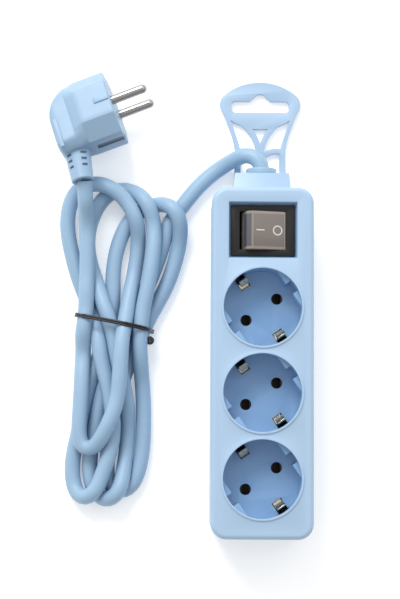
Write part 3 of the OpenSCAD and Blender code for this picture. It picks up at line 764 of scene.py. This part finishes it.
class SOCKETBLOCK_OT_contacts(bpy.types.Operator):
    """Finishes the contacts, screws, wires and other parts inside"""
    bl_idname = "socketblock.contacts"
    bl_label = "Contacts and fixings"

    CLIP_EDGE = 0.00015

    def execute(self, context):
        brass = metal("contact_strip", (0.80, 0.64, 0.44), 0.2, "Z", 0.0003, 0.12)
        # Painted shade: the brass bus bars get a near-black colour, standing in for the shade they lie in under
        # the wells
        bar_painted_shade = metal("bar_strip", (0.10, 0.09, 0.08), 0.5, "Y", 0.0004, 0.12)
        zinc = metal("zinc_screw", (0.56, 0.57, 0.58), 0.3, "Z", 0.0003)
        silver = metal("contact_silver", (0.75, 0.74, 0.72), 0.25, "X", 0.0003)
        nylon = plastic("nylon", (0.80, 0.78, 0.72), 0.45, 0.0004, 0.00001)
        for k in (1, 2, 3):
            rounded_copy(f"earth_clip_{k}", f"earth_spring_{k}", brass,
                         self.CLIP_EDGE)
        plain = {
            "live_bar": bar_painted_shade, "neutral_bar": bar_painted_shade, "earth_bar": bar_painted_shade, "earth_rivets": brass,
            "housing_screws": zinc, "clamp_screws": zinc, "plunger_springs": zinc,
            "cord_clamp": nylon, "plungers": nylon, "seesaw_contacts": silver,
            "switch_terminals": silver, "indicator_lamp": nylon,
        }
        cores = {
            "live_wire": (0.16, 0.06, 0.02), "switched_live_wire": (0.16, 0.06, 0.02),
            "neutral_wire": (0.02, 0.11, 0.42), "switched_neutral_wire": (0.02, 0.11, 0.42),
            "earth_wire": (0.20, 0.45, 0.06),
        }
        for node, colour in cores.items():
            plain[node] = plastic(f"{node}_skin", colour, 0.4, 0.0004, 0.00001)
        plain["inner_sheath"] = sheath_finish("inner_skin", context.scene.block_cord.colour)
        for node, finish in plain.items():
            dress(frame["nodes"][node], finish)
        return {"FINISHED"}


# The switch

class SOCKETBLOCK_OT_switch(bpy.types.Operator):
    """Finishes the switch and prints its two marks on the rocker"""
    bl_idname = "socketblock.switch"
    bl_label = "Switch"

    # The rocker in its own axes: its top face, its ends, its walls and its flat middle
    TOP = 0.01112
    HALF_LENGTH = 0.0095
    WALL = 0.0013
    FLAT_HALF = 0.0085
    FLAT_MARGIN = 0.0004
    HOLLOW_LOW = 0.0045
    REST_TILT = 15.0
    # The two marks lie on top of it, one each side of its pivot
    MARK_T = 0.00006
    MARK_GAP = 0.00002
    ON_X = -0.0044
    OFF_X = 0.0046
    RING_POINTS = 64
    BEZEL_EDGE = 0.00025
    CAP_EDGE = 0.0004

    def on_rocker(self):
        """From the rocker's own axes, level and centred on its pivot, to its resting place."""
        tilt = Matrix.Rotation(math.radians(self.REST_TILT), 4, "Y")
        return Matrix.Translation(joint("rocker_tip")["pos_m"]) @ tilt

    def smoked(self, colour):
        """Smoked plastic with painted light: its ends and walls are painted paler and given a painted glow, and
        painted shade darkens it over the hollow behind its ends.
        """
        # Painted light: the emission strength makes the rocker's ends and walls glow, though no lamp is inside it
        smoke = Finish("rocker_smoke", colour, 0.2, Coat_Weight=0.25, Emission_Strength=1.0)
        back = self.on_rocker().inverted()
        own = smoke.node("ShaderNodeMapping", {}, {
            "Vector": smoke.place(), "Location": back.to_translation(),
            "Rotation": back.to_euler()})
        across, along = abs(own.axis("X")), abs(own.axis("Y"))
        inside = along < self.HALF_LENGTH - self.WALL
        end = across > self.FLAT_HALF + self.FLAT_MARGIN
        hollow = end * (own.axis("Z") > self.HOLLOW_LOW) * inside
        top = (across < self.FLAT_HALF - self.FLAT_MARGIN) * inside
        # Painted light and shade: a lighter colour on the ends and walls, and a near-black one over the hollow
        painted_rim_light = shade(colour, 1.3)
        face = smoke.cloudy(colour, 0.08, 0.007)
        painted_hollow_shade = (0.075, 0.076, 0.09, 1.0)
        smoke.set("Base Color", smoke.mix(hollow, smoke.mix(top, painted_rim_light, face), painted_hollow_shade))
        # Painted glow on the ends and walls, faint over the hollow and none on the flat middle
        painted_glow = smoke.mix(hollow, shade(colour, 0.3), (0.02, 0.02, 0.024, 1.0))
        smoke.set("Emission Color", smoke.mix(top, painted_glow, (0.0, 0.0, 0.0, 1.0)))
        smoke.set("Roughness", smoke.spread(smoke.noise(0.004), 0.16, 0.3))
        smoke.bump(smoke.noise(0.0012), 0.00001)
        return smoke

    def add_marks(self, settings, finish):
        place = self.on_rocker()
        lift = self.TOP + self.MARK_GAP
        bar = bmesh.new()
        size = (settings.bar, settings.mark, self.MARK_T)
        middle = Vector((self.ON_X, 0.0, lift))
        bmesh.ops.create_cube(bar, size=1.0, matrix=place @ Matrix.Translation(middle)
                              @ Matrix.Diagonal((*size, 1.0)))
        new_piece("on_mark", bar, finish, "rocker", 0)
        ring = bmesh.new()
        made = bmesh.ops.create_circle(ring, cap_ends=True, segments=self.RING_POINTS,
                                       radius=settings.ring)
        face = made["verts"][0].link_faces[0]
        bmesh.ops.inset_region(ring, faces=[face], thickness=settings.mark,
                               use_boundary=True, use_even_offset=True)
        inside = min(ring.faces, key=lambda f: f.calc_center_median().length)
        bmesh.ops.delete(ring, geom=[inside], context="FACES")
        bmesh.ops.solidify(ring, geom=ring.faces, thickness=self.MARK_T)
        bmesh.ops.transform(ring, verts=ring.verts,
                            matrix=place @ Matrix.Translation((self.OFF_X, 0.0, lift)))
        new_piece("off_mark", ring, finish, "rocker", 0)

    def execute(self, context):
        settings = context.scene.block_switch
        black = plastic("switch_black", (0.014, 0.0135, 0.014), 0.42, 0.0004, 0.00001, 0.1,
                        Specular_IOR_Level=0.25)
        rounded_copy("switch_housing", "switch_bezel", black, self.BEZEL_EDGE)
        smoke = self.smoked(settings.smoke)
        rounded_copy("rocker", "rocker_cap", smoke, self.CAP_EDGE, 3,
                     "rocker")
        white = Finish("mark_ink", (0.62, 0.60, 0.57), 0.5)
        white.set("Roughness", white.spread(white.noise(0.0006), 0.4, 0.6))
        self.add_marks(settings, white)
        return {"FINISHED"}


# The plug, in its own axes: pins along X, its lead along -Y, its pin line along Z

def plug_axes():
    """The plug's axes and the middle of its face, from its two pins."""
    upper, lower = mount("plug_upper_pin"), mount("plug_lower_pin")
    x = Vector(upper["axis"])
    z = (Vector(upper["pos_m"]) - Vector(lower["pos_m"])).normalized()
    y = z.cross(x)
    middle = (Vector(upper["pos_m"]) + Vector(lower["pos_m"])) / 2
    face = middle - x * upper["dims"]["length_mm"] / 2 * MM
    turn = Matrix((x, y, z)).transposed().to_4x4()
    return Matrix.Translation(face) @ turn


def clip(value, reach):
    return max(-reach, min(reach, value))


def add_ring(shape, outline, segments):
    """A closed loop of edges whose point at each angle is outline(angle), in millimetres."""
    made = bmesh.ops.create_circle(shape, cap_ends=False, segments=segments, radius=1.0)
    for vert in made["verts"]:
        vert.co = Vector(outline(math.atan2(vert.co.y, vert.co.x))) * MM
    return list({e for v in made["verts"] for e in v.link_edges})


def skin(shape, rings):
    """Joins each ring to the next and closes both ends."""
    for first, second in zip(rings, rings[1:]):
        bmesh.ops.bridge_loops(shape, edges=first + second)
    for end in (rings[0], rings[-1]):
        bmesh.ops.edgeloop_fill(shape, edges=end)


def merge(shape, part):
    """Adds a part to a shape, and frees the part."""
    mesh = bpy.data.meshes.new("part")
    part.to_mesh(mesh)
    part.free()
    shape.from_mesh(mesh)
    bpy.data.meshes.remove(mesh)


def pull_in(shape, faces, shift):
    """Sinks some faces into a shape: shift moves each of their corners."""
    made = bmesh.ops.extrude_face_region(shape, geom=faces)
    for vert in (v for v in made["geom"] if isinstance(v, bmesh.types.BMVert)):
        vert.co -= shift(vert.co)
    bmesh.ops.delete(shape, geom=faces, context="FACES")


def add_block(shape, low, high, width):
    """A box between two corners, in millimetres, with its edges rounded."""
    low, high = Vector(low) * MM, Vector(high) * MM
    size = high - low
    place = Matrix.Translation((low + high) / 2)
    part = bmesh.new()
    bmesh.ops.create_cube(part, size=1.0, matrix=place @ Matrix.Diagonal((*size, 1.0)))
    bevel(part, list(part.edges), width * MM, 3)
    merge(shape, part)


class SOCKETBLOCK_OT_plug(bpy.types.Operator):
    """Builds the soft plug body with its sleeve and finishes the metal parts"""
    bl_idname = "socketblock.plug"
    bl_label = "Plug"

    # The front, across its axis: side flats, broad flats and corner chamfers
    SIDE = 17.4
    FLAT = 16.0
    CHAMFER = 17.85
    CHAMFER_TURN = 49.0
    FRONT_L = 17.2
    # Where the front's rings are along it, and how much smaller than the outline each is
    FRONT_RINGS = ((0.0, 0.7), (-0.2, 0.25), (-0.7, 0.0), (-14.9, 0.0), (-FRONT_L, 0.0),
                   (-FRONT_L - 0.5, 0.15))
    # The grip behind a short band: half its thickness, its end, and the radii there
    BAND_L = 5.6
    GRIP_T = 13.0
    REACH = 33.5
    BACK_R = 17.0
    CORNER_R = 3.0
    EDGE_R = 4.0
    BULGE = (1.17, 1.3)
    GRIP_RINGS = (26, 28, 29.5, 30.5, 31.3, 32, 32.6, 33.1, 33.4, REACH)
    RING_POINTS = 96
    # A slot in each side flat, for the earth contacts
    SLOT_HALF = 2.3
    SLOT_ENDS = (-14.9, -0.7)
    SLOT_DEPTH = 1.2
    # The sleeve round the lead, from its root to its mouth
    SLEEVE_AT = (-25.3, -12.4, 0.0)
    SLEEVE_LEAN = 7.0
    SLEEVE_L = 20.0
    SLEEVE_R = (6.8, 5.6)
    SLEEVE_RINGS = (0.0, 5.9, 7.3, 9.2, 10.6, 12.5, 13.9, 18.2, 19.6, SLEEVE_L)
    SLEEVE_POINTS = 48
    BORE_R = 4.1
    BORE_END = 12.0
    # Three rows of notches, between two angles from the sleeve's top and foot
    NOTCH_ROWS = (5.9, 9.2, 12.5)
    NOTCH_L = 1.4
    NOTCH_ANGLES = (22.0, 53.0)
    NOTCH_DEPTH = 1.5
    FACE_EDGE = 0.0002
    SMOOTH_BELOW = 24.0

    def front_outline(self, x, less):
        """Across the front: two broad flats, two side flats and a chamfer at each corner."""
        def outline(angle):
            y, z = abs(math.cos(angle)), abs(math.sin(angle))
            slant = math.radians(self.CHAMFER_TURN)
            out = y * math.cos(slant) + z * math.sin(slant)
            reach = min(self.SIDE / max(y, 0.01), self.FLAT / max(z, 0.01),
                        self.CHAMFER / max(out, 0.01)) - less
            return (x, reach * math.cos(angle), reach * math.sin(angle))
        return outline

    def grip_outline(self, x):
        """Across the grip, which is round at one end in plan and thins at the back."""
        behind = max(0.0, -x - self.REACH + self.BACK_R)
        high = self.SIDE - self.BACK_R + math.sqrt(max(0.4, self.BACK_R ** 2 - behind ** 2))
        corner = max(0.0, -x - self.REACH + self.CORNER_R)
        low = self.CORNER_R - self.SIDE - math.sqrt(max(0.0, self.CORNER_R ** 2 - corner ** 2))
        middle, half = (high + low) / 2, (high - low) / 2
        near = max(0.0, -x - self.REACH + self.EDGE_R)
        thick = self.GRIP_T - self.EDGE_R + math.sqrt(max(0.0, self.EDGE_R ** 2 - near ** 2))
        wide, tall = self.BULGE

        def outline(angle):
            y = middle + clip(half * wide * math.cos(angle), half)
            return (x, y, clip(thick * tall * math.sin(angle), thick))
        return outline

    def add_body(self, shape):
        fronts = [self.front_outline(x, less) for x, less in self.FRONT_RINGS]
        starts = self.FRONT_L + self.BAND_L
        grips = [self.grip_outline(-x) for x in (starts, starts + 0.6, *self.GRIP_RINGS)]
        rings = [add_ring(shape, outline, self.RING_POINTS) for outline in fronts + grips]
        skin(shape, rings)
        slots = [f for f in shape.faces if self.in_slot(f.calc_center_median() / MM)]
        depth = self.SLOT_DEPTH * MM
        pull_in(shape, slots, lambda at: Vector((0.0, math.copysign(depth, at.y), 0.0)))

    def in_slot(self, p):
        back, front = self.SLOT_ENDS
        return abs(p.y) > self.SIDE - 0.1 and abs(p.z) < self.SLOT_HALF and back < p.x < front

    def add_ribs(self, shape):
        """A key on each broad flat and a rib across each side of the grip, 1.1 mm high."""
        high = 1.1
        for key_low, rib_low in ((self.FLAT - 0.4, self.GRIP_T - 0.5),
                                 (-self.FLAT - 0.7, -self.GRIP_T - 0.6)):
            add_block(shape, (-8.4, -1.6, key_low), (-0.6, 1.6, key_low + high), 0.45)
            add_block(shape, (-31.6, -16.4, rib_low), (-29.4, -0.6, rib_low + high), 0.4)

    def sleeve_place(self):
        """From the sleeve's axis, along Z, to the plug's axes."""
        lean = Matrix.Rotation(math.radians(-self.SLEEVE_LEAN), 4, "Z")
        down = Matrix.Rotation(math.radians(90.0), 4, "X")
        return Matrix.Translation(Vector(self.SLEEVE_AT) * MM) @ lean @ down

    def add_sleeve(self, shape):
        part = bmesh.new()
        slim = (self.SLEEVE_R[0] - self.SLEEVE_R[1]) / self.SLEEVE_L
        end = self.SLEEVE_L

        def ring(z, less):
            radius = self.SLEEVE_R[0] - slim * z - less
            return add_ring(part, lambda angle: (radius * math.cos(angle),
                                                 radius * math.sin(angle), z),
                            self.SLEEVE_POINTS)
        rings = [ring(z, 0.35 if z == end else 0.0) for z in self.SLEEVE_RINGS]
        bore = [ring(z, self.SLEEVE_R[1] - self.BORE_R + slim * (end - z))
                for z in (end, self.BORE_END)]
        skin(part, rings + bore)
        notches = [f for f in part.faces if self.in_notch(f.calc_center_median() / MM)]
        depth = self.NOTCH_DEPTH * MM
        pull_in(part, notches, lambda at: Vector((at.x, at.y, 0.0)).normalized() * depth)
        bmesh.ops.transform(part, matrix=self.sleeve_place(), verts=part.verts)
        merge(shape, part)

    def in_notch(self, p):
        in_row = any(low < p.z < low + self.NOTCH_L for low in self.NOTCH_ROWS)
        angle = math.degrees(math.atan2(abs(p.x), abs(p.y)))
        outside = math.hypot(p.x, p.y) > self.SLEEVE_R[1] - 0.1
        low_angle, high_angle = self.NOTCH_ANGLES
        return in_row and outside and low_angle < angle < high_angle

    def execute(self, context):
        settings = context.scene.block_plug
        soft = plastic("plug_soft", settings.colour, 0.4, 0.0006, 0.000015, 0.03,
                       Specular_IOR_Level=0.45)
        shape = bmesh.new()
        self.add_body(shape)
        self.add_ribs(shape)
        self.add_sleeve(shape)
        bmesh.ops.transform(shape, matrix=plug_axes(), verts=shape.verts)
        body = new_piece("plug_shell", shape, soft, smooth=self.SMOOTH_BELOW)
        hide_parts("plug_body")
        rounded_copy("plug_bridge", "plug_face", soft, self.FACE_EDGE)
        chrome = metal("pin_plate", (0.43, 0.41, 0.40), 0.14, "X", 0.004, 0.03)
        dress(frame["nodes"]["plug_pins"], chrome)
        # Painted shade: the plated earth contacts get a dark blue-grey colour, standing in for the shade in their
        # slots
        painted_shade_plate = metal("earth_plate", (0.15, 0.17, 0.20), 0.4, "X", 0.0004, 0.05)
        dress(frame["nodes"]["plug_earth_contacts"], painted_shade_plate)
        dress(frame["nodes"]["plug_earth_sleeve"], chrome)
        return {"FINISHED"}


class SOCKETBLOCK_PT_panel(bpy.types.Panel):
    bl_label = "Socket block"
    bl_idname = "SOCKETBLOCK_PT_panel"
    bl_space_type = "VIEW_3D"
    bl_region_type = "UI"
    bl_category = "Socket block"

    def draw(self, context):
        for maker in MAKERS:
            self.layout.operator(maker.bl_idname)
        for name in SETTINGS:
            group = getattr(context.scene, name)
            for key in group.bl_rna.properties.keys():
                if key not in ("rna_type", "name"):
                    self.layout.prop(group, key)


MAKERS = (SOCKETBLOCK_OT_studio, SOCKETBLOCK_OT_plug, SOCKETBLOCK_OT_cord,
          SOCKETBLOCK_OT_housing, SOCKETBLOCK_OT_contacts, SOCKETBLOCK_OT_switch)
SETTINGS = {
    "block_studio": StudioSettings,
    "block_cord": CordSettings,
    "block_housing": HousingSettings,
    "block_switch": SwitchSettings,
    "block_plug": PlugSettings,
}


def register():
    for kind in (*SETTINGS.values(), *MAKERS, SOCKETBLOCK_PT_panel):
        bpy.utils.register_class(kind)
    for name, kind in SETTINGS.items():
        setattr(bpy.types.Scene, name, bpy.props.PointerProperty(type=kind))


def unregister():
    for name in SETTINGS:
        delattr(bpy.types.Scene, name)
    for kind in (SOCKETBLOCK_PT_panel, *reversed(MAKERS), *reversed(SETTINGS.values())):
        bpy.utils.unregister_class(kind)


def main():
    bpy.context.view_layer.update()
    register()
    for maker in MAKERS:
        group, name = maker.bl_idname.split(".")
        getattr(getattr(bpy.ops, group), name)()


if __name__ == "__main__":
    main()
